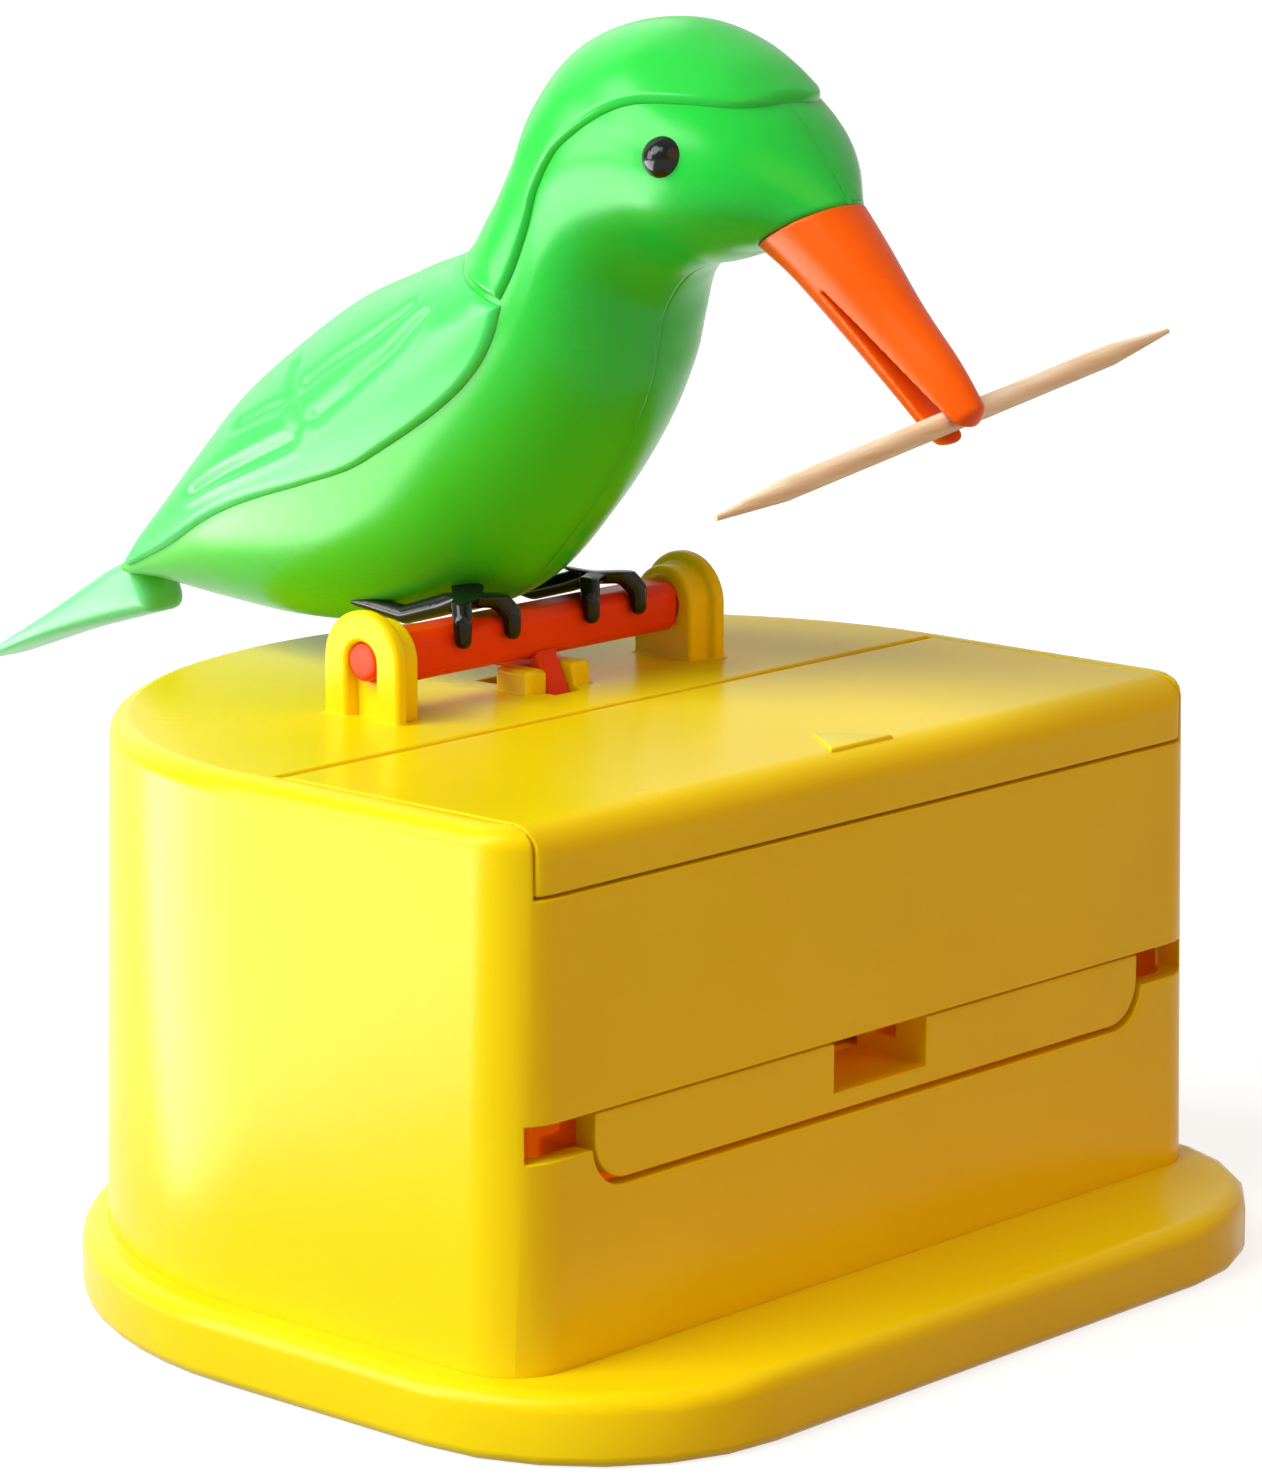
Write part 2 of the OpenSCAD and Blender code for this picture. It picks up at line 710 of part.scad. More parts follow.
// Point of a section at an angle from the back line, on the -X side when the angle is positive
function skin(list, s, a, grow = 0) =
    let (q = section(list, s), c = [q[0] + q[2], q[1] + q[3]] / 2, h = [q[0] - q[2], q[1] - q[3]] / 2,
         l = norm(h), m = c + h / l * max(l + grow, skin_min) * cos(a))
    [-max(q[4] + grow, skin_min) * sin(a), m.x, m.y];

// Closed solid through equal rings of points. The rings of a sheet run out along
// one face and back along the other, and its ends close from face to face.
module loft(rings, sheet = false) {
    n = len(rings[0]);
    last = (len(rings) - 1) * n;
    // the diagonals turn over half way round, so a symmetric ring makes a symmetric solid
    walls = [for (i = [0:len(rings) - 2]) for (k = [0:n - 1])
             let (a = i * n + k, b = i * n + (k + 1) % n)
             for (f = k < n / 2 ? [[a, b, b + n], [a, b + n, a + n]] : [[a, b, a + n], [b, b + n, a + n]]) f];
    ends = sheet
        ? [for (k = [0:n / 2 - 2])
           let (a = k, b = k + 1, c = n - 2 - k, d = n - 1 - k)
           for (f = [[c, b, a], [d, c, a], [last + a, last + b, last + c], [last + a, last + c, last + d]]) f]
        : [[for (k = [n - 1:-1:0]) k], [for (k = [0:n - 1]) last + k]];
    polyhedron([for (r = rings) for (p = r) p], concat(walls, ends));
}

// Left half of the hollow body, open at the joint face
module half_shell() {
    last = len(BIRD) - 1;
    loft([for (i = [0:last * sub]) concat(
        [for (k = [0:half_sides]) skin(BIRD, i / sub, 180 * k / half_sides)],
        [for (k = [half_sides:-1:0]) skin(BIRD, i / sub, 180 * k / half_sides, -shell_t)])], true);
}

module eye(grow = 0) {
    p = skin(BIRD, eye_at[0], eye_at[1], -eye_sink);
    translate(p)
        sphere(d = eye_d + 2 * grow, $fn = 32);
}

module bird_half()
    difference() {
        half_shell();
        eye(eye_seat);
    }

module bird_left()
    color(green)
        bird_half();

module bird_right()
    color(green)
        mirror([1, 0, 0])
            bird_half();

// Part of the body as a solid, a little proud of the skin, that cuts what is seated on it
module body_solid(from, to)
    loft([for (i = [from * sub:to * sub])
          [for (k = [0:2 * half_sides - 1]) skin(BIRD, i / sub, 180 * k / half_sides, seat)]]);

// Plate fitted on the body between two sections, out to its edge on both sides.
// Its ends bow back by so many sections at the middle.
module plate(edge, from, to, front_bow, back_bow) {
    steps = 22;
    across = 14;
    function at(i, k, grow) =
        let (s = from + (to - from) * i / steps, v = 2 * k / across - 1,
             bow = front_bow + (back_bow - front_bow) * i / steps)
        skin(BIRD, s + bow * (1 - v * v), v * lookup(s, edge), grow - (grow > 0 ? 0.35 * grow * pow(abs(v), 8) : 0));
    difference() {
        loft([for (i = [0:steps]) concat([for (k = [0:across]) at(i, k, plate_t)],
                                         [for (k = [across:-1:0]) at(i, k, -plate_sink)])], true);
        body_solid(floor(from), min(ceil(to) + 1, len(BIRD) - 1));
    }
}

module crest()
    color(green)
        plate(CREST_EDGE, 2.1, 8.4, 0, 0.7);

module wing_back()
    color(green)
        plate(WING_EDGE, 8.46, 16.4, 0.7, 0);

module tail()
    color(green)
        difference() {
            loft([for (i = [0:(len(TAIL) - 1) * sub])
                  [for (k = [0:2 * half_sides - 1]) skin(TAIL, i / sub, 180 * k / half_sides)]]);
            body_solid(13, len(BIRD) - 1);
        }

module beak()
    color(orange)
        difference() {
            loft([for (i = [0:(len(BEAK) - 1) * sub])
                  [for (k = [0:2 * half_sides - 1]) skin(BEAK, i / sub, 180 * k / half_sides)]]);
            translate(pick_at)
                rotate([atan2(beak_dir.z, beak_dir.y), 0, 0])
                    rotate([90, 0, 90])
                        translate([0, 0, -10])
                            linear_extrude(20)
                                polygon([[-slit_root, -slit_min / 2], [-1, -slit_w / 2], [10, -slit_w / 2],
                                         [10, slit_w / 2], [-1, slit_w / 2], [-slit_root, slit_min / 2]]);
        }

// Rounded rod through points [x, y, z, radius]
module rod(points)
    for (i = [0:len(points) - 2])
        hull()
            for (p = [points[i], points[i + 1]])
                translate([p.x, p.y, p.z])
                    sphere(r = p[3], $fn = 12);

// Foot on the bar at x: two toes over the front edge, one to the back, a leg to the belly
module foot(x) {
    front = perch_y - bar_d / 2 - toe_r + 0.25;
    top = perch_z + bar_h / 2;
    u = toe_r / 0.95;                      // the foot grows with its toes
    knuckle = [0, perch_y - 0.4 * u, top + 2.1 * u];
    color([0.08, 0.08, 0.08])
        difference() {
            translate([x, 0, 0])
                union() {
                    // leg into the belly
                    rod([concat(knuckle, 1.25 * u), [0, perch_y + 2.7 * u, top + 5.4 * u, 1.6 * u]]);
                    // front toes, arched over the bar and down its face
                    for (s = [-1, 1])
                        rod([concat(knuckle, 1.25 * u), [s * 2.3 * u, front + 1.2 * u, top + 1.8 * u, 1.05 * u],
                             [s * toe_x, front + 0.1 * u, top + 0.3 * u, toe_r],
                             [s * toe_x, front, top - 1.4 * u, toe_r * 0.9]]);
                    // long hind toe under the belly
                    rod([concat(knuckle, 1.25 * u), [0, perch_y + 2.8 * u, top + 0.8 * u, 1.05 * u],
                         [0, perch_y + 7.7 * u, top - 0.7 * u, 0.95 * u],
                         [0, perch_y + 14.4 * u, top - 0.1 * u, 0.6 * u]]);
                }
            translate([x - 8 * u, perch_y, perch_z])
                rotate([90, 0, 90])
                    linear_extrude(16 * u)
                        bar_section();
            body_solid(9, 15);
        }
}

module toothpick() {
    point = 9;
    blunt = 0.25;
    dir_tilt = atan2(beak_dir.z, beak_dir.y);
    half = pick_len / 2;
    color("burlywood")
        translate(pick_at)
            rotate([dir_tilt, 0, 0])
                rotate([0, 90 + pick_roll, -pick_yaw])
                    rotate_extrude()
                        polygon([[0, -half], [blunt, -half], [pick_d / 2, -half + point],
                                 [pick_d / 2, half - point], [blunt, half], [0, half]]);
}

base_plate();
base_screw(0);  // base_screw_1
base_screw(1);  // base_screw_2
base_screw(2);  // base_screw_3
base_screw(3);  // base_screw_4
housing();
hopper();
chassis();
rocker_pin();
return_spring();
rocker();
tray();
lid();
perch_bar();
drive_finger();
bird_left();
bird_right();
crest();
wing_back();
tail();
beak();
color("black") eye();  // eye_left
color("black") mirror([1, 0, 0]) eye();  // eye_right
foot(-foot_gap / 2);  // foot_left
foot(foot_gap / 2);  // foot_right
toothpick();
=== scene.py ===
import math

import bmesh
import bpy
from mathutils import Matrix, Vector
from mathutils.geometry import delaunay_2d_cdt


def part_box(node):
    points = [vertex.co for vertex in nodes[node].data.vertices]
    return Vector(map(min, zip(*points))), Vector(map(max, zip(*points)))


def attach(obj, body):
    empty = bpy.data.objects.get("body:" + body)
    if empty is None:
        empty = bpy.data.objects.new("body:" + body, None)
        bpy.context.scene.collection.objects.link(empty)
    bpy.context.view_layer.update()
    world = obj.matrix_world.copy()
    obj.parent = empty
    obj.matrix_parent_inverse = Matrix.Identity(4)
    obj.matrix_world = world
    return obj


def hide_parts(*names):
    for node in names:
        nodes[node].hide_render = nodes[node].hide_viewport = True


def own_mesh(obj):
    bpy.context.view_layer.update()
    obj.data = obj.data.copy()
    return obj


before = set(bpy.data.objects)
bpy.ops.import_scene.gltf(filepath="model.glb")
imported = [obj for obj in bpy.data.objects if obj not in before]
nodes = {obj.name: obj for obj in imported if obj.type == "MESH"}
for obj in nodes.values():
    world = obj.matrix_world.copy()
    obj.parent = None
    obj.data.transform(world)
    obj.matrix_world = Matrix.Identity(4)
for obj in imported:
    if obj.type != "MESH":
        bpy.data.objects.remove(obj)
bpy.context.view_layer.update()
mm = 0.001
print("frame loaded:", len(nodes), "nodes")


# camera, solved from the box's edges in the photograph

cameraSetup = {
    "place": (-0.375127, -0.337922, 0.155027),
    "azimuth": 48.074,
    "elevation": 11.688,
    "roll": -0.179,
    "lens": 135.52,
    "sensor": 36,
    "clip": (0.01, 20),
}


def addObject(name, data):
    made = bpy.data.objects.new(name, data)
    bpy.context.scene.collection.objects.link(made)
    return made


def makeCamera(setup):
    data = bpy.data.cameras.new("camera")
    data.lens = setup["lens"]
    data.sensor_width = setup["sensor"]
    data.clip_start, data.clip_end = setup["clip"]
    camera = addObject("camera", data)
    az, el = math.radians(setup["azimuth"]), math.radians(setup["elevation"])
    look = Vector((math.sin(az) * math.cos(el), math.cos(az) * math.cos(el), -math.sin(el)))
    right = Vector((math.cos(az), -math.sin(az), 0))
    turned = Matrix.Rotation(math.radians(-setup["roll"]), 3, -look) @ right
    up = turned.cross(look)
    rows = Matrix((turned, up, -look)).transposed()
    camera.matrix_world = Matrix.Translation(Vector(setup["place"])) @ rows.to_4x4()
    bpy.context.scene.camera = camera


makeCamera(cameraSetup)


# materials


def link(tree, fromSocket, toSocket):
    tree.links.new(fromSocket, toSocket)


def addNode(tree, kind, place=(0, 0), **settings):
    node = tree.nodes.new(kind)
    node.location = place
    for key, value in settings.items():
        setattr(node, key, value)
    return node


def setInputs(node, values):
    for key, value in values.items():
        node.inputs[key].default_value = value


def noiseOn(tree, vector, scale, detail=2.0, roughness=0.5, place=(0, 0)):
    noise = addNode(tree, "ShaderNodeTexNoise", place)
    setInputs(noise, {"Scale": scale, "Detail": detail, "Roughness": roughness})
    link(tree, vector, noise.inputs["Vector"])
    return noise.outputs["Fac"]


def remap(tree, value, low, high, fromLow=0.3, fromHigh=0.7, place=(0, 0)):
    mapRange = addNode(tree, "ShaderNodeMapRange", place)
    setInputs(mapRange, {"From Min": fromLow, "From Max": fromHigh, "To Min": low, "To Max": high})
    link(tree, value, mapRange.inputs["Value"])
    return mapRange.outputs["Result"]


def mixColour(tree, factor, first, second, place=(0, 0)):
    mix = addNode(tree, "ShaderNodeMix", place, data_type="RGBA")
    link(tree, factor, mix.inputs["Factor"])
    for socket, colour in ((mix.inputs["A"], first), (mix.inputs["B"], second)):
        if hasattr(colour, "is_output"):
            link(tree, colour, socket)
        else:
            socket.default_value = (*colour, 1)
    return mix.outputs["Result"]


def bumpOn(tree, height, strength, distance, place=(0, 0), under=None):
    bump = addNode(tree, "ShaderNodeBump", place)
    setInputs(bump, {"Strength": strength, "Distance": distance})
    link(tree, height, bump.inputs["Height"])
    if under is not None:
        link(tree, under, bump.inputs["Normal"])
    return bump.outputs["Normal"]


def stretched(tree, vector, scale, turn=(0, 0, 0), place=(0, 0)):
    mapping = addNode(tree, "ShaderNodeMapping", place)
    setInputs(mapping, {"Rotation": turn, "Scale": scale})
    link(tree, vector, mapping.inputs["Vector"])
    return mapping.outputs["Vector"]


def startMaterial(name):
    material = bpy.data.materials.new(name)
    material.use_nodes = True
    tree = material.node_tree
    tree.nodes.clear()
    output = addNode(tree, "ShaderNodeOutputMaterial", (600, 0))
    shader = addNode(tree, "ShaderNodeBsdfPrincipled", (250, 0))
    link(tree, shader.outputs["BSDF"], output.inputs["Surface"])
    coordinates = addNode(tree, "ShaderNodeTexCoord", (-1100, 0))
    return material, tree, shader, coordinates.outputs["Object"]


# moulded plastic: slow colour drift, uneven gloss from handling, faint waves and a fine skin
plasticDetail = {
    "driftScale": 38,
    "handledScale": 65,
    "waveScale": 110,
    "grainScale": 2600,
    "gloss": (-0.01, 0.04),
    "waveStrength": 0.08,
    "waveDepth": 0.0003,
    "grainDepth": 0.00003,
    "ior": 1.46,
    "lowerHeights": (0.062, 0.098),
    "throughHeights": (0.031, 0.036),
}


# the second colour towards the bottom is a painted reflection of the yellow deck below; the emission is a
# painted glow standing in for light through the walls, fading upwards
def plastic(name, colour, deep, roughness, glow, glowDepth, glowScale, skin=0.06, shine=0.4, tint=(1, 1, 1),
            through=None, lower=None):
    setup = plasticDetail
    material, tree, shader, place = startMaterial(name)
    drift = noiseOn(tree, place, setup["driftScale"], 3, place=(-850, 250))
    grain = noiseOn(tree, place, setup["grainScale"], 2, place=(-850, -250))
    wave = noiseOn(tree, place, setup["waveScale"], 1, place=(-850, -500))
    handled = noiseOn(tree, place, setup["handledScale"], 3, 0.55, (-850, 500))
    slow = remap(tree, drift, 0, 1, place=(-600, 250))
    shade = mixColour(tree, slow, colour, deep, (-350, 250))
    split = addNode(tree, "ShaderNodeSeparateXYZ", (-600, 450))
    link(tree, place, split.inputs["Vector"])
    # painted reflection: the colour turns yellower towards the bottom, as if lit from the yellow deck below
    if lower:
        height = remap(tree, split.outputs["Z"], 0, 1, *setup["lowerHeights"], (-350, 450))
        shade = mixColour(tree, height, lower, shade, (-100, 350))
    link(tree, shade, shader.inputs["Base Color"])
    glossLow, glossHigh = setup["gloss"]
    rough = remap(tree, handled, roughness + glossLow, roughness + glossHigh, 0.35, 0.75, (-600, 0))
    link(tree, rough, shader.inputs["Roughness"])
    broad = bumpOn(tree, wave, setup["waveStrength"], setup["waveDepth"], (-400, -500))
    fine = bumpOn(tree, grain, skin, setup["grainDepth"], (-200, -300), broad)
    link(tree, fine, shader.inputs["Normal"])
    setInputs(shader, {
        "Subsurface Weight": glow,
        "Subsurface Radius": glowDepth,
        "Subsurface Scale": glowScale,
        "IOR": setup["ior"],
        "Specular IOR Level": shine,
        "Specular Tint": (*tint, 1),
    })
    # painted glow: the emission stands in for light passing through the thin walls, strongest low down and
    # fading upwards
    if through:
        setInputs(shader, {"Emission Color": (*through, 1)})
        fading = remap(tree, split.outputs["Z"], 1, 0, *setup["throughHeights"], (-100, -500))
        link(tree, fading, shader.inputs["Emission Strength"])
    return material


steelLook = {
    "colour": (0.62, 0.63, 0.65),
    "stained": (0.50, 0.50, 0.50),
    "stainScale": 420,
    "brush": (2500, 2500, 300),
    "roughness": (0.2, 0.4),
    "bump": (0.15, 0.00003),
}


def brightSteel(name, setup):
    material, tree, shader, place = startMaterial(name)
    brushed = stretched(tree, place, setup["brush"], place=(-1000, 200))
    lines = noiseOn(tree, brushed, 1.0, 3, 0.6, (-850, 200))
    stain = noiseOn(tree, place, setup["stainScale"], 3, place=(-850, -100))
    tone = remap(tree, stain, 0, 1, place=(-600, -100))
    shade = mixColour(tree, tone, setup["colour"], setup["stained"], (-350, 100))
    link(tree, shade, shader.inputs["Base Color"])
    link(tree, remap(tree, lines, *setup["roughness"], place=(-600, 150)), shader.inputs["Roughness"])
    link(tree, bumpOn(tree, lines, *setup["bump"], (-200, -300)), shader.inputs["Normal"])
    setInputs(shader, {"Metallic": 1.0})
    return material


# split birch: long fibres, pale and dark streaks, dry broken surface
birchLook = {
    "pale": (0.94, 0.80, 0.60),
    "dark": (0.80, 0.60, 0.38),
    "worn": (0.96, 0.87, 0.72),
    "fibre": (55, 1500, 1500),
    "streak": (22, 520, 520),
    "roughness": (0.55, 0.8),
    "bump": (0.6, 0.00012),
    "glow": 0.1,
    "glowScale": 0.001,
}


def birch(name, turn, setup):
    material, tree, shader, place = startMaterial(name)
    along = stretched(tree, place, setup["fibre"], turn, (-1000, 200))
    fibre = noiseOn(tree, along, 1.0, 4, 0.6, (-850, 200))
    coarse = stretched(tree, place, setup["streak"], turn, (-1000, -200))
    streak = noiseOn(tree, coarse, 1.0, 2, 0.5, (-850, -200))
    fibreTone = remap(tree, fibre, 0, 1, place=(-600, 200))
    wood = mixColour(tree, fibreTone, setup["pale"], setup["dark"], (-400, 200))
    streakTone = remap(tree, streak, 0, 1, 0.5, 0.75, (-600, -200))
    worn = mixColour(tree, streakTone, wood, setup["worn"], (-200, 100))
    link(tree, worn, shader.inputs["Base Color"])
    link(tree, remap(tree, fibre, *setup["roughness"], place=(-600, 0)), shader.inputs["Roughness"])
    link(tree, bumpOn(tree, fibre, *setup["bump"], (-200, -300)), shader.inputs["Normal"])
    setInputs(shader, {"Subsurface Weight": setup["glow"], "Subsurface Scale": setup["glowScale"]})
    return material


plasticLooks = {
    "yellowCase": {
        "colour": (0.93, 0.70, 0.003), "deep": (0.90, 0.66, 0.002), "roughness": 0.24,
        "glow": 0.12, "glowDepth": (1, 0.5, 0.08), "glowScale": 0.003,
        "shine": 0.13, "tint": (1, 0.95, 0.75),
    },
    "yellowInnerPaintedShadeGlow": {
        # a darker, oranger copy of the case yellow: painted shade on the hidden insides
        "colour": (0.90, 0.58, 0.003), "deep": (0.85, 0.52, 0.002), "roughness": 0.34,
        "glow": 0.08, "glowDepth": (1, 0.5, 0.08), "glowScale": 0.003,
        # the emission is a painted glow standing in for light through the thin walls
        "shine": 0.15, "through": (0.30, 0.040, 0),
    },
    "greenBody": {
        "colour": (0.012, 0.64, 0.050), "deep": (0.018, 0.68, 0.060), "roughness": 0.25,
        "glow": 0.30, "glowDepth": (0.3, 1, 0.3), "glowScale": 0.004,
        # the yellower bottom colour is a painted reflection of the yellow deck, not the plastic's own colour
        "shine": 0.3, "lower": (0.070, 0.58, 0.010),
    },
    "greenCrestPaintedSheen": {
        # a slightly paler copy of the body green: painted sheen from the light at the back left
        "colour": (0.020, 0.66, 0.060), "deep": (0.030, 0.70, 0.075), "roughness": 0.25,
        "glow": 0.30, "glowDepth": (0.3, 1, 0.35), "glowScale": 0.004,
        "shine": 0.3,
    },
    "greenPlatesPaintedSheen": {
        # a paler copy of the body green: painted sheen from the bright light at the back left
        "colour": (0.045, 0.68, 0.105), "deep": (0.060, 0.72, 0.13), "roughness": 0.30,
        "glow": 0.35, "glowDepth": (0.3, 1, 0.35), "glowScale": 0.004,
    },
    "greenTailPaintedGlow": {
        # a much paler copy of the body green: painted glow of light passing through the thin tail
        "colour": (0.17, 0.75, 0.26), "deep": (0.20, 0.77, 0.30), "roughness": 0.30,
        "glow": 0.5, "glowDepth": (0.5, 1, 0.6), "glowScale": 0.006,
    },
    "orangeBeak": {
        "colour": (0.88, 0.095, 0.002), "deep": (0.88, 0.125, 0.002), "roughness": 0.27,
        "glow": 0.35, "glowDepth": (1, 0.4, 0.05), "glowScale": 0.004,
        "shine": 0.2, "tint": (1, 0.8, 0.6),
    },
    "redPerch": {
        "colour": (0.82, 0.052, 0.002), "deep": (0.78, 0.038, 0.002), "roughness": 0.28,
        "glow": 0.3, "glowDepth": (1, 0.25, 0.04), "glowScale": 0.003,
        "shine": 0.2, "tint": (1, 0.7, 0.5),
    },
    "orangeInner": {
        "colour": (0.86, 0.18, 0.006), "deep": (0.80, 0.14, 0.005), "roughness": 0.36,
        "glow": 0.12, "glowDepth": (1, 0.4, 0.1), "glowScale": 0.003,
    },
    "blackGloss": {
        "colour": (0.004, 0.004, 0.004), "deep": (0.008, 0.007, 0.007), "roughness": 0.13,
        "glow": 0.0, "glowDepth": (1, 0.6, 0.3), "glowScale": 0.004,
        "skin": 0.03, "shine": 0.3,
    },
}

paints = {name: plastic(name, **look) for name, look in plasticLooks.items()}
paints["steel"] = brightSteel("steel", steelLook)
print("materials made")


# a CAD node that keeps its shape gets its material here
def paintNodes(material, *names):
    for name in names:
        nodes[name].data.materials.clear()
        nodes[name].data.materials.append(material)


# mesh helpers

meshLimits = {
    "weld": 0.000002,
    "gridWeld": 0.0000005,
    "flatGap": 0.000002,    # faces this level and this parallel count as one flat
    "flatDot": 0.99999,
    "snap": 0.0000002,
    "dissolve": 0.4,    # degrees
    "flatWeight": 60,
}


def mergedCopy(name):
    bm = bmesh.new()
    bm.from_mesh(nodes[name].data)
    bmesh.ops.remove_doubles(bm, verts=bm.verts, dist=meshLimits["weld"])
    return bm


def blankObject(bm, name):
    mesh = bpy.data.meshes.new(name)
    bm.to_mesh(mesh)
    bm.free()
    return addObject(name, mesh)


def keepPiece(bm, name, material, body, instead=(), sharp=38, weighted=False):
    piece = blankObject(bm, name)
    piece.data.shade_smooth()
    piece.data.set_sharp_from_angle(angle=math.radians(sharp))
    piece.data.materials.append(material)
    if weighted:
        flat = piece.modifiers.new("flatFaces", "WEIGHTED_NORMAL")
        flat.keep_sharp = True
        flat.weight = meshLimits["flatWeight"]
    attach(piece, body)
    if instead:
        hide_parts(*instead)
    return piece


# the faces level with one face and joined to it, in a fixed order
def flatRegion(seed):
    region, stack = {seed: True}, [seed]
    while stack:
        for e in stack.pop().edges:
            for f in e.link_faces:
                level = abs((f.verts[0].co - seed.verts[0].co).dot(seed.normal))
                parallel = f.normal.dot(seed.normal) > meshLimits["flatDot"]
                if f not in region and parallel and level < meshLimits["flatGap"]:
                    region[f] = True
                    stack.append(f)
    return region


def insideOutline(centre, flat, lines):
    crossed = 0
    for a, b in lines:
        (ax, ay), (bx, by) = flat[a], flat[b]
        if (ay > centre.y) != (by > centre.y) and centre.x < ax + (centre.y - ay) * (bx - ax) / (by - ay):
            crossed += 1
    return crossed % 2 == 1


# flat areas triangulated afresh from their outline, holes included
def refillFlats(bm):
    bm.normal_update()
    waiting = {f: True for f in bm.faces if len(f.verts) > 4}
    while waiting:
        seed = next(iter(waiting))
        region = flatRegion(seed)
        for f in region:
            waiting.pop(f, None)
        edges = dict.fromkeys(e for f in region for e in f.edges)
        border = [e for e in edges if sum(f in region for f in e.link_faces) == 1]
        corners = list(dict.fromkeys(v for e in border for v in e.verts))
        order = {v: i for i, v in enumerate(corners)}
        across = seed.normal.orthogonal().normalized()
        along = seed.normal.cross(across)
        flat = [Vector((v.co.dot(across), v.co.dot(along))) for v in corners]
        lines = [(order[e.verts[0]], order[e.verts[1]]) for e in border]
        points, _, triangles, origins, _, _ = delaunay_2d_cdt(flat, lines, [], 0, meshLimits["snap"])
        depth = seed.normal * seed.verts[0].co.dot(seed.normal)
        fresh = {}
        bmesh.ops.delete(bm, geom=list(region), context="FACES_KEEP_BOUNDARY")
        for triangle in triangles:
            centre = sum((points[i] for i in triangle), Vector((0, 0))) / 3
            if not insideOutline(centre, flat, lines):
                continue
            loop = []
            for i in triangle:
                if origins[i]:
                    loop.append(corners[origins[i][0]])
                else:
                    if i not in fresh:
                        fresh[i] = bm.verts.new(across * points[i].x + along * points[i].y + depth)
                    loop.append(fresh[i])
            if len(set(loop)) == 3 and not bm.faces.get(loop):
                bm.faces.new(loop)
    bm.normal_update()


# each cut is a width, the segments, the least angle and a test for the edges it takes
def breakEdges(bm, *cuts):
    level = math.radians(meshLimits["dissolve"])
    bmesh.ops.dissolve_limit(bm, angle_limit=level, verts=bm.verts, edges=bm.edges)
    for width, segments, minAngle, choose in cuts:
        limit = math.radians(minAngle)
        edges = [e for e in bm.edges if len(e.link_faces) == 2]
        edges = [e for e in edges if e.calc_face_angle(0) > limit and choose(e)]
        bmesh.ops.bevel(
            bm, geom=edges, offset=width, offset_type="OFFSET", segments=segments,
            profile=0.5, affect="EDGES", clamp_overlap=False, material=-1,
        )
    refillFlats(bm)


def anyEdge(e):
    return True


def finishedMesh(blank):
    bpy.context.view_layer.update()
    return bpy.data.meshes.new_from_object(blank.evaluated_get(bpy.context.evaluated_depsgraph_get()))


# joined into one skin and smoothed, as if the pieces had run together
def melt(mesh, setup):
    blank = addObject("blank", mesh)
    remesh = blank.modifiers.new("melt", "REMESH")
    remesh.mode = "VOXEL"
    remesh.voxel_size = setup["voxel"]
    melted = finishedMesh(blank)
    bpy.data.objects.remove(blank)
    bm = bmesh.new()
    bm.from_mesh(melted)
    for _ in range(setup["passes"]):
        bmesh.ops.smooth_vert(bm, verts=bm.verts, factor=setup["pull"],
                              use_axis_x=True, use_axis_y=True, use_axis_z=True)
    return bm


def mappedGrid(counts, place, wrap=False):
    bm = bmesh.new()
    bmesh.ops.create_grid(bm, x_segments=counts[0], y_segments=counts[1], size=0.5)
    for v in bm.verts:
        v.co = place(v.co.x + 0.5, v.co.y + 0.5)
    if wrap:
        bmesh.ops.remove_doubles(bm, verts=bm.verts, dist=meshLimits["gridWeld"])
    return bm


# 0 to 1, closer together at both ends
def ends(t):
    return (1 - math.cos(math.pi * t)) / 2


def smoothStep(t):
    t = min(max(t, 0), 1)
    return t * t * (3 - 2 * t)


# a quarter-round edge: 0 on the border, 1 from the radius inwards
def roundOff(distance, radius):
    t = min(max(distance / radius, 0), 1)
    return math.sqrt(1 - (1 - t) ** 2)


# case: the CAD's own walls with their moulded edges broken

# each edge is a width, the segments and the least angle in degrees
caseEdges = {
    "deck": (0.00048, 3, 32),
    "slot": (0.0002, 2, 32),
    "lid": (0.0003, 3, 32),
    "tray": (0.00018, 2, 32),
    "deckHeight": 0.0541,
    "shortest": 0.0004,
}


def makeCase(setup):
    def below(e):
        return max(v.co.z for v in e.verts) < setup["deckHeight"]

    def above(e):
        return min(v.co.z for v in e.verts) > setup["deckHeight"]

    def longEdge(e):
        return e.calc_length() > setup["shortest"]

    paint = paints["yellowCase"]
    bm = mergedCopy("housing")
    breakEdges(bm, (*setup["slot"], below), (*setup["deck"], above))
    keepPiece(bm, "caseShell", paint, "case", ["housing"], weighted=True)
    bm = mergedCopy("base_plate")
    keepPiece(bm, "basePlate", paint, "case", ["base_plate"], 42, weighted=True)
    bm = mergedCopy("lid")
    breakEdges(bm, (*setup["lid"], longEdge))
    keepPiece(bm, "hopperLid", paint, "lid", ["lid"], weighted=True)
    bm = mergedCopy("tray")
    breakEdges(bm, (*setup["tray"], anyEdge))
    keepPiece(bm, "pickTray", paint, "tray", ["tray"], weighted=True)


makeCase(caseEdges)
# hopper and chassis take the painted-shade copy of the case yellow, which also carries the painted glow
paintNodes(paints["yellowInnerPaintedShadeGlow"], "hopper", "chassis")
print("case made")


# the small raised triangle on the lid, pointing to the perch

lidMark = {
    "apexY": -0.0229,
    "baseY": -0.0288,
    "halfWidth": 0.0044,
    "height": 0.00028,
    "sunk": 0.0003,
    "round": 0.00025,
}


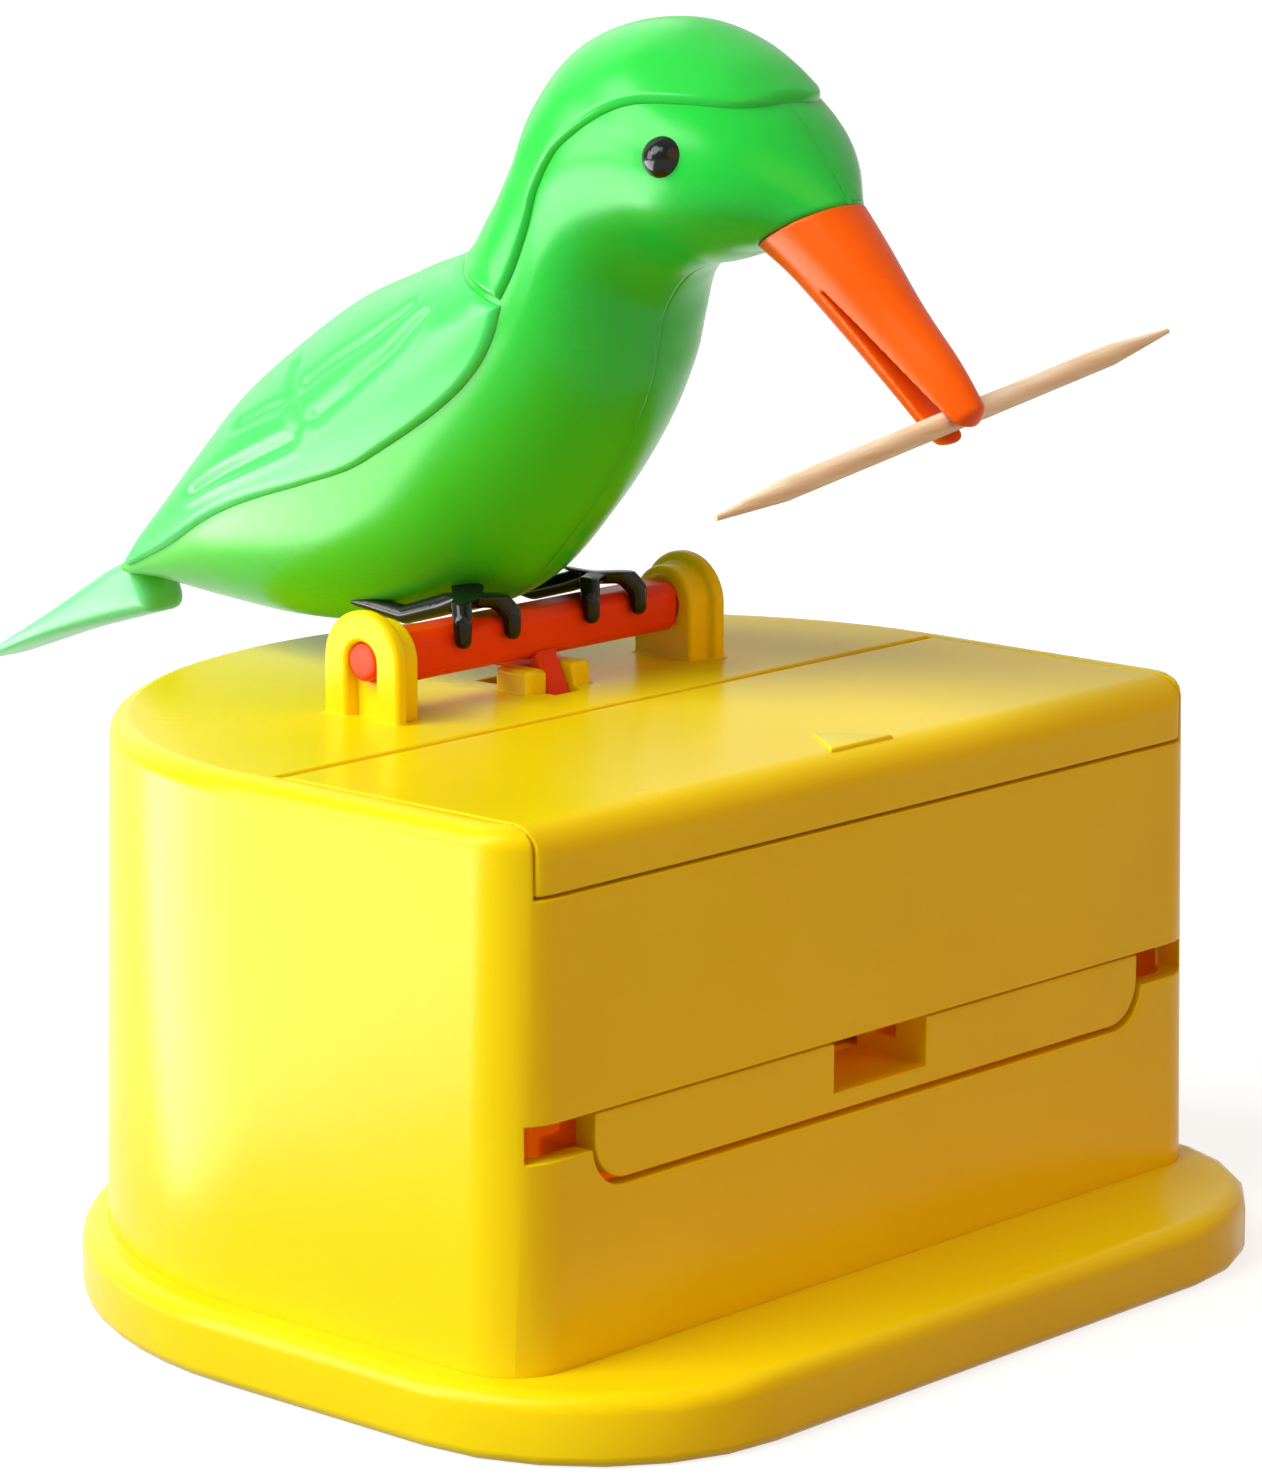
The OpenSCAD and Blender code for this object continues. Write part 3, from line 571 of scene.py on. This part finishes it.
def makeLidMark(setup):
    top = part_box("lid")[1].z
    bm = bmesh.new()
    half = setup["halfWidth"]
    corners = [(0, setup["apexY"]), (-half, setup["baseY"]), (half, setup["baseY"])]
    face = bm.faces.new([bm.verts.new((x, y, top - setup["sunk"])) for x, y in corners])
    raised = bmesh.ops.extrude_face_region(bm, geom=[face])
    lifted = [v for v in raised["geom"] if isinstance(v, bmesh.types.BMVert)]
    bmesh.ops.translate(bm, verts=lifted, vec=(0, 0, setup["height"] + setup["sunk"]))
    bmesh.ops.recalc_face_normals(bm, faces=bm.faces)
    bmesh.ops.bevel(
        bm, geom=bm.edges, offset=setup["round"], segments=3, profile=0.5, affect="EDGES", material=-1,
    )
    keepPiece(bm, "lidMark", paints["yellowCase"], "lid", sharp=50)


makeLidMark(lidMark)


# bird: sections from the beak to the tail, in millimetres: back y, z, belly y, z, half width

birdShape = {
    "body": [
        (-26.7, 102.2, -18, 97.6, 5), (-23.6, 106.3, -16.5, 97.2, 8.5), (-20, 110.2, -15, 96.6, 10.7),
        (-15.1, 113.6, -13, 96, 12), (-8, 116.3, -10.6, 95.5, 12.6), (-0.7, 115.1, -8, 94.4, 12.6),
        (3.9, 110.9, -6.2, 92.6, 12.2), (6.5, 105.6, -5, 90.5, 12), (9.7, 100.1, -4.3, 87.4, 12.3),
        (14, 95.8, -3.3, 83.5, 13), (20.7, 92.5, -0.2, 77.4, 14), (28.1, 89.4, 5.6, 69.8, 15),
        (35.3, 85, 13.2, 62.6, 15.2), (42.9, 79.5, 24, 59, 14.2), (49.5, 73.1, 36, 57.6, 12),
        (56, 66.7, 47, 58, 9), (61.3, 61.8, 56.5, 58.8, 6), (65.2, 59.9, 62, 58.6, 3.8),
    ],
    "bodyGrid": (150, 56),
    "wall": 0.0018,
    "seamDepth": 0.05,
    "seamDegrees": 0.7,
    "plate": 1.2,    # thickness of the crest and wing plates
    "rim": (0.80, 1.0),    # share of the thickness that the rim rises by, and over how many mm
    "swell": (0.45, 6),    # the same for the slow rise towards the middle
    "sunk": 0.25,
    "sectionLength": 6.4,
    "degreeLength": 0.21,
    "reliefFade": 2,
}

# edge: (section, degrees from the back line); span: first and last section, bow of the front and back edges
crestShape = {
    "edge": [
        (2.1, 2), (2.13, 13), (2.2, 22), (2.35, 31), (2.6, 39), (3, 48), (3.5, 58), (4.1, 69), (4.8, 78),
        (6, 84), (7.2, 88), (9.3, 90),
    ],
    "span": (2.1, 8.4, 0, 0.7),
    "grid": (120, 100),
}

wingShape = {
    "edge": [
        (8.4, 91), (9.4, 101), (10.2, 102), (11.4, 96), (12.2, 88), (13.8, 78), (15, 78), (16.6, 70),
    ],
    "span": (8.46, 16.4, 0.7, 0),
    "grid": (210, 170),
}


# Catmull-Rom curve through q and r
def spline(p, q, r, s, t):
    squareTerm = 2 * p - 5 * q + 4 * r - s
    cubeTerm = 3 * q - p - 3 * r + s
    return 0.5 * (2 * q + (r - p) * t + squareTerm * t * t + cubeTerm * t ** 3)


def sectionAt(stations, s):
    i = min(max(int(math.floor(s)), 0), len(stations) - 2)

    def row(k):
        if k < 0:
            return [2 * a - b for a, b in zip(stations[0], stations[1])]
        if k >= len(stations):
            return [2 * a - b for a, b in zip(stations[-1], stations[-2])]
        return stations[k]

    return [spline(*values, s - i) for values in zip(row(i - 1), row(i), row(i + 1), row(i + 2))]


# point of a section at an angle from the back line, in metres
def skinPoint(stations, s, angle, grow=0.0):
    backY, backZ, bellyY, bellyZ, half = sectionAt(stations, s)
    centre = Vector((0, (backY + bellyY) / 2, (backZ + bellyZ) / 2))
    rise = Vector((0, (backY - bellyY) / 2, (backZ - bellyZ) / 2))
    reach = rise.length
    least = 0.5    # mm
    a = math.radians(angle)
    point = centre + rise / reach * max(reach + grow, least) * math.cos(a)
    point.x = -max(half + grow, least) * math.sin(a)
    return point * mm


# smooth curve through a table
def curveAt(table, x):
    x = min(max(x, table[0][0]), table[-1][0])
    i = max(k for k in range(len(table) - 1) if table[k][0] <= x or k == 0)

    def slope(k):
        a, b = table[max(k - 1, 0)], table[min(k + 1, len(table) - 1)]
        return (b[1] - a[1]) / (b[0] - a[0])

    (x0, y0), (x1, y1) = table[i], table[i + 1]
    h = x1 - x0
    t = (x - x0) / h
    rising = y0 * (1 + 2 * t) * (1 - t) ** 2 + y1 * t * t * (3 - 2 * t)
    return rising + h * (slope(i) * t * (1 - t) ** 2 - slope(i + 1) * t * t * (1 - t))


def thicken(piece, thickness):
    wall = piece.modifiers.new("wall", "SOLIDIFY")
    wall.thickness = thickness
    wall.offset = -1


def makeBodyHalf(setup, side, name, node):
    last = len(setup["body"]) - 1

    def place(u, v):
        angle = 180 * ends(v)
        seam = min(angle, 180 - angle)
        grow = -setup["seamDepth"] * math.exp(-(seam / setup["seamDegrees"]) ** 2)
        point = skinPoint(setup["body"], last * u, angle, grow)
        point.x *= side
        return point

    bm = mappedGrid(setup["bodyGrid"], place)
    bmesh.ops.recalc_face_normals(bm, faces=bm.faces)
    middle = max(bm.faces, key=lambda f: abs(f.calc_center_median().x))
    if middle.normal.x * middle.calc_center_median().x < 0:
        bmesh.ops.reverse_faces(bm, faces=bm.faces)
    piece = keepPiece(bm, name, paints["greenBody"], "bird", [node], 60)
    thicken(piece, setup["wall"])


makeBodyHalf(birdShape, 1, "bodyLeft", "bird_left")
makeBodyHalf(birdShape, -1, "bodyRight", "bird_right")


# feather lines on the wing plate, as (section, degrees) points
feathers = {
    "lines": [
        [(9.75, 54), (10.6, 58), (11.6, 57)],
        [(9.55, 64), (10.3, 71), (11.0, 73), (11.55, 72)],
        [(11.8, 42), (11.85, 70)],
        [(12.05, 57), (12.8, 51)],
        [(12.05, 72), (12.9, 68), (13.9, 61)],
    ],
    "depth": 0.60,
    "width": 0.66,
    "swell": 0.14,
    "swellPlace": 0.9,
    "swellWidth": 0.55,
    "sectionLength": 6.6,
    "degreeLength": 0.23,
}


# a groove along each line, with a low ridge on one side of it
def featherHeight(setup, s, angle):
    x, y = s * setup["sectionLength"], abs(angle) * setup["degreeLength"]
    height = 0
    for line in setup["lines"]:
        points = [(a * setup["sectionLength"], b * setup["degreeLength"]) for a, b in line]
        best, side = math.inf, 0
        for (x0, y0), (x1, y1) in zip(points, points[1:]):
            dx, dy = x1 - x0, y1 - y0
            t = min(max(((x - x0) * dx + (y - y0) * dy) / (dx * dx + dy * dy), 0), 1)
            gap = math.hypot(x - x0 - t * dx, y - y0 - t * dy)
            if gap < best:
                best, side = gap, (dx * (y - y0) - dy * (x - x0))
        height -= setup["depth"] * math.exp(-(best / setup["width"]) ** 2)
        if side > 0:
            height += setup["swell"] * math.exp(-((best - setup["swellPlace"]) / setup["swellWidth"]) ** 2)
    return height


# a plate that lies on the body and follows its sections
def makePlate(setup, shape, name, node, material, relief=None):
    start, end, frontBow, backBow = shape["span"]
    length = (end - start) * setup["sectionLength"]
    rimRise, rimWidth = setup["rim"]
    swellRise, swellWidth = setup["swell"]

    def place(u, v):
        u, v = ends(u), 2 * ends(v) - 1
        s = start + (end - start) * u
        bow = frontBow + (backBow - frontBow) * u
        section = s + bow * (1 - v * v)
        reach = curveAt(shape["edge"], s)
        width = reach * setup["degreeLength"]
        inside = min((1 - abs(v)) * width, min(u, 1 - u) * length)
        rise = rimRise * roundOff(inside, rimWidth) + swellRise * smoothStep(inside / swellWidth)
        grow = setup["plate"] * (rise - setup["sunk"])
        if relief:
            grow += relief(section, v * reach) * smoothStep((1 - abs(v)) * width / setup["reliefFade"])
        return skinPoint(setup["body"], section, v * reach, grow)

    bm = mappedGrid(shape["grid"], place)
    bmesh.ops.recalc_face_normals(bm, faces=bm.faces)
    top = max(bm.faces, key=lambda f: f.calc_center_median().z)
    if top.normal.z < 0:
        bmesh.ops.reverse_faces(bm, faces=bm.faces)
    piece = keepPiece(bm, name, material, "bird", [node], 60)
    thicken(piece, setup["plate"] * mm)


makePlate(birdShape, crestShape, "crestPlate", "crest", paints["greenCrestPaintedSheen"])
makePlate(birdShape, wingShape, "wingPlate", "wing_back", paints["greenPlatesPaintedSheen"],
          lambda s, angle: featherHeight(feathers, s, angle))
print("bird body, crest and wings made")


# tail and beak: closed lofts

tailShape = {
    "stations": [
        (63, 60.6, 60.6, 55.2, 2.8), (67.2, 58.8, 65, 53.9, 3.6), (75.5, 53.6, 74, 51.2, 4),
        (82, 49.9, 81.4, 48.6, 3.6), (85.6, 47.9, 85.2, 47.2, 2.6),
    ],
    "grid": (90, 64),
    "endRound": 0.8,
    "rootRound": 1.2,
    "squareness": 0.55,
}

beakShape = {
    "stations": [
        (-26.7, 102.2, -18, 97.6, 5), (-29.8, 98.8, -21.8, 95.1, 4.4), (-34.3, 93.8, -27.3, 90.4, 3.3),
        (-38.7, 89.4, -32.5, 85.9, 2.6), (-41.3, 86.2, -36.5, 82.4, 2.1), (-42.1, 84.9, -38.2, 81.4, 1.7),
    ],
    "grid": (72, 56),
    "endRound": 1.1,
    "rootRound": 0,
    "squareness": 0.95,
    "direction": (0, -0.745, -0.667),
    "grip": (0, -0.0385, 0.0842),
    "slitLength": 0.0158,
    "slitAhead": 0.010,
    "slitSide": 0.02,
    "slitRoot": 0.0003,
    "slitMouth": 0.00325,
    "voxel": 0.00014,
    "passes": 4,
    "pull": 0.5,
}


def closedLoft(setup):
    stations = setup["stations"]
    last = len(stations) - 1
    tip = 0.0005    # the ends close to this share of their section

    def middle(k):
        return ((stations[k][0] + stations[k][2]) / 2, (stations[k][1] + stations[k][3]) / 2)

    def squared(value):
        return math.copysign(abs(value) ** setup["squareness"], value)

    def place(u, v):
        s = last * math.sin(u * math.pi / 2)
        backY, backZ, bellyY, bellyZ, half = sectionAt(stations, s)
        here = ((backY + bellyY) / 2, (backZ + bellyZ) / 2)
        size = roundOff(math.dist(here, middle(-1)), setup["endRound"])
        if setup["rootRound"]:
            size *= roundOff(math.dist(here, middle(0)), setup["rootRound"])
        size = max(size, tip)
        c, d = squared(math.cos(math.tau * v)) * size, squared(math.sin(math.tau * v)) * size
        rise = ((backY - bellyY) / 2, (backZ - bellyZ) / 2)
        return Vector((-half * d, here[0] + rise[0] * c, here[1] + rise[1] * c)) * mm

    bm = mappedGrid(setup["grid"], place, wrap=True)
    bmesh.ops.holes_fill(bm, edges=[e for e in bm.edges if e.is_boundary], sides=0)
    bmesh.ops.recalc_face_normals(bm, faces=bm.faces)
    if bm.calc_volume(signed=True) < 0:
        bmesh.ops.reverse_faces(bm, faces=bm.faces)
    return bm


def makeTail(setup):
    keepPiece(closedLoft(setup), "tailFan", paints["greenTailPaintedGlow"], "bird", ["tail"], 55)


# a wedge that opens from the slit's root to the beak's mouth
def slitCutter(setup):
    forward = Vector(setup["direction"]).normalized()
    upward = Vector((0, forward.z, -forward.y))
    bm = bmesh.new()
    bmesh.ops.create_cube(bm, size=1)
    for v in bm.verts:
        deep = v.co.y < 0
        gap = setup["slitRoot"] if deep else setup["slitMouth"]
        reach = -setup["slitLength"] if deep else setup["slitAhead"]
        side = Vector((math.copysign(setup["slitSide"], v.co.x), 0, 0))
        lift = math.copysign(gap / 2, v.co.z)
        v.co = Vector(setup["grip"]) + side + forward * reach + upward * lift
    if bm.calc_volume(signed=True) < 0:
        bmesh.ops.reverse_faces(bm, faces=bm.faces)
    return bm


def makeBeak(setup):
    tool = blankObject(slitCutter(setup), "slitCutter")
    horn = blankObject(closedLoft(setup), "beakBlank")
    cut = horn.modifiers.new("slit", "BOOLEAN")
    cut.operation = "DIFFERENCE"
    cut.solver = "EXACT"
    cut.object = tool
    shaped = finishedMesh(horn)
    bpy.data.objects.remove(tool)
    bpy.data.objects.remove(horn)
    bm = melt(shaped, setup)
    print("beak cut:", len(shaped.polygons), "faces, melted to", len(bm.faces))
    keepPiece(bm, "beakHorn", paints["orangeBeak"], "bird", ["beak"], 180)


makeTail(tailShape)
makeBeak(beakShape)
print("tail and beak made")


# feet: the CAD's toes melted together, the shank above the knuckle leant in under the belly

feetFinish = {
    "voxel": 0.00015,
    "passes": 8,
    "pull": 0.5,
    "knuckle": 0.0636,    # height above which the shank changes
    "squeeze": 0.22,
    "lean": 0.9,
    "narrow": 0.35,
    "taper": 0.0014,
}


def makeFoot(setup, node, name):
    bm = melt(nodes[node].data.copy(), setup)
    low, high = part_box(node)
    middle = (low.x + high.x) / 2
    for v in bm.verts:
        over = v.co.z - setup["knuckle"]
        if over > 0:
            slim = 1 - setup["narrow"] * smoothStep(over / setup["taper"])
            v.co.z = setup["knuckle"] + over * setup["squeeze"]
            v.co.x = middle + (v.co.x - middle) * slim - math.copysign(over * setup["lean"], middle)
    keepPiece(bm, name, paints["blackGloss"], "bird", [node], 180)


makeFoot(feetFinish, "foot_left", "footLeft")
makeFoot(feetFinish, "foot_right", "footRight")
paintNodes(paints["blackGloss"], "eye_left", "eye_right")
print("feet and eyes made")


# perch, finger, rocker and steel parts

perchEdges = {"bar": (0.00035, 3, 30), "finger": (0.00025, 2, 30)}


def makePerch(setup):
    for node, name, edge in (("perch_bar", "perchBar", "bar"), ("drive_finger", "driveFinger", "finger")):
        bm = mergedCopy(node)
        breakEdges(bm, (*setup[edge], anyEdge))
        keepPiece(bm, name, paints["redPerch"], "bird", [node], weighted=True)


makePerch(perchEdges)
paintNodes(paints["orangeInner"], "rocker")
paintNodes(paints["steel"], "base_screw_1", "base_screw_2", "base_screw_3", "base_screw_4", "rocker_pin")


# return spring: one wire wound with the spin operator, closed at both ends

springWire = {
    "wire": 0.0008,
    "coil": 0.0054,
    "sides": 12,
    "closedTurns": 1,
    "closedPitch": 1.02,
    "openTurns": 7,
    "steps": 28,
    "keep": 0.61,
}


def makeSpring(setup):
    low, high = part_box("return_spring")
    middle = (low + high) / 2
    radius = (setup["coil"] - setup["wire"]) / 2
    closed = (setup["closedTurns"], setup["wire"] * setup["closedPitch"] * setup["closedTurns"])
    rise = high.z - low.z - setup["wire"] - 2 * closed[1]
    bm = bmesh.new()
    turn = Matrix.Translation((radius, 0, setup["wire"] / 2)) @ Matrix.Rotation(math.radians(90), 4, "X")
    bmesh.ops.create_circle(bm, segments=setup["sides"], radius=setup["wire"] / 2, matrix=turn, cap_ends=True)
    leading = list(bm.faces)
    for turns, climb in (closed, (setup["openTurns"], rise), closed):
        steps = setup["steps"] * turns
        spun = bmesh.ops.spin(bm, geom=leading, cent=(0, 0, 0), axis=(0, 0, 1), dvec=(0, 0, climb / steps),
                              angle=math.radians(360 * turns), steps=steps, use_duplicate=False)
        leading = [f for f in spun["geom_last"] if isinstance(f, bmesh.types.BMFace)]
    bmesh.ops.translate(bm, verts=bm.verts, vec=(middle.x, middle.y, low.z))
    bmesh.ops.recalc_face_normals(bm, faces=bm.faces)
    piece = keepPiece(bm, "returnSpring", paints["steel"], "case", ["return_spring"], 60)
    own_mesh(piece)


makeSpring(springWire)
print("perch and spring made")


# the toothpick keeps its CAD shape

pickThickness = 0.002
pickLow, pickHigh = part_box("toothpick")
pickTurn = (0, math.atan2(pickHigh.z - pickLow.z - pickThickness, pickHigh.x - pickLow.x), 0)
paintNodes(birch("birch", pickTurn, birchLook), "toothpick")
print("toothpick painted")


# floor, light and world

studio = {
    "floor": (0.32, 0.32, 0.32),
    "floorGlow": 0.80,
    "floorSize": 12,
    "ambient": 0.09,
    "backdrop": 0.66,
    # name, direction towards the light, spread in degrees, power, colour
    "suns": [
        ("windowLeft", (-0.73, 0.28, 0.62), 40, 3.35, (0.97, 1.0, 1.0)),
        ("warmFront", (0.10, -0.92, 0.36), 60, 1.10, (1.0, 0.46, 0.08)),
        ("softBack", (0.25, 0.80, 0.55), 60, 0.75, (1.0, 1.0, 1.0)),
    ],
    # name, place, target, size, power, whether it lights matt surfaces too
    "boxes": [
        ("softBox", (-0.34, -0.10, 0.52), (0, -0.01, 0.10), 0.20, 0.7, True),
        ("sheenLeft", (-0.72, 0.56, 0.28), (-0.04, 0, 0.04), 0.50, 7.0, False),
        ("floorPatch", (-0.28, 0.27, 0.003), (-0.28, 0.27, 1), 0.44, 0.8, True),
        ("floorSheen", (-0.28, 0.27, 0.004), (-0.28, 0.27, 1), 0.44, 6.0, False),
    ],
}


# paler to the camera and to reflections than to the light, so the shadow stays
def paleSwitch(tree, plain, pale, output):
    paths = addNode(tree, "ShaderNodeLightPath", (-600, 300))
    seen = addNode(tree, "ShaderNodeMath", (-400, 300), operation="MAXIMUM")
    either = addNode(tree, "ShaderNodeMath", (-200, 300), operation="MAXIMUM")
    mix = addNode(tree, "ShaderNodeMixShader", (400, 0))
    link(tree, paths.outputs["Is Camera Ray"], seen.inputs[0])
    link(tree, paths.outputs["Is Glossy Ray"], seen.inputs[1])
    link(tree, seen.outputs["Value"], either.inputs[0])
    link(tree, paths.outputs["Is Transmission Ray"], either.inputs[1])
    link(tree, either.outputs["Value"], mix.inputs["Fac"])
    link(tree, plain, mix.inputs[1])
    link(tree, pale, mix.inputs[2])
    link(tree, mix.outputs["Shader"], output.inputs["Surface"])


def makeFloor(setup):
    bm = bmesh.new()
    bmesh.ops.create_grid(bm, x_segments=1, y_segments=1, size=setup["floorSize"])
    floor = blankObject(bm, "floor")
    material = bpy.data.materials.new("paleFloor")
    material.use_nodes = True
    tree = material.node_tree
    tree.nodes.clear()
    output = addNode(tree, "ShaderNodeOutputMaterial", (600, 0))
    diffuse = addNode(tree, "ShaderNodeBsdfDiffuse", (0, 0))
    diffuse.inputs["Color"].default_value = (*setup["floor"], 1)
    glow = addNode(tree, "ShaderNodeEmission", (0, -200))
    glow.inputs["Strength"].default_value = setup["floorGlow"]
    add = addNode(tree, "ShaderNodeAddShader", (200, -100))
    link(tree, diffuse.outputs["BSDF"], add.inputs[0])
    link(tree, glow.outputs["Emission"], add.inputs[1])
    paleSwitch(tree, diffuse.outputs["BSDF"], add.outputs["Shader"], output)
    floor.data.materials.append(material)


def makeSun(name, towards, spread, power, colour):
    data = bpy.data.lights.new(name, "SUN")
    data.angle = math.radians(spread)
    data.energy = power
    data.color = colour
    lamp = addObject(name, data)
    lamp.rotation_euler = Vector(towards).to_track_quat("Z", "Y").to_euler()


def makeSoftBox(name, place, target, size, power, spreads):
    data = bpy.data.lights.new(name, "AREA")
    data.size = size
    data.energy = power
    lamp = addObject(name, data)
    lamp.location = place
    lamp.rotation_euler = (Vector(place) - Vector(target)).to_track_quat("Z", "Y").to_euler()
    lamp.visible_diffuse = spreads


def background(tree, strength, place):
    node = addNode(tree, "ShaderNodeBackground", place)
    setInputs(node, {"Color": (1, 1, 1, 1), "Strength": strength})
    return node


def makeWorld(setup):
    world = bpy.data.worlds.new("studioWorld")
    bpy.context.scene.world = world
    world.use_nodes = True
    tree = world.node_tree
    tree.nodes.clear()
    output = addNode(tree, "ShaderNodeOutputWorld", (600, 0))
    plain = background(tree, setup["ambient"], (0, 0))
    pale = background(tree, setup["backdrop"], (0, -200))
    paths = addNode(tree, "ShaderNodeLightPath", (-600, -300))
    bright = addNode(tree, "ShaderNodeMath", (-200, -300), operation="MAXIMUM")
    bright.inputs[1].default_value = setup["backdrop"]    # white to the camera, dimmer in reflections
    link(tree, paths.outputs["Is Camera Ray"], bright.inputs[0])
    link(tree, bright.outputs["Value"], pale.inputs["Strength"])
    paleSwitch(tree, plain.outputs["Background"], pale.outputs["Background"], output)


makeFloor(studio)
for sunRow in studio["suns"]:
    makeSun(*sunRow)
for boxRow in studio["boxes"]:
    makeSoftBox(*boxRow)
makeWorld(studio)
bpy.context.scene.view_settings.view_transform = "Standard"
print("studio made")
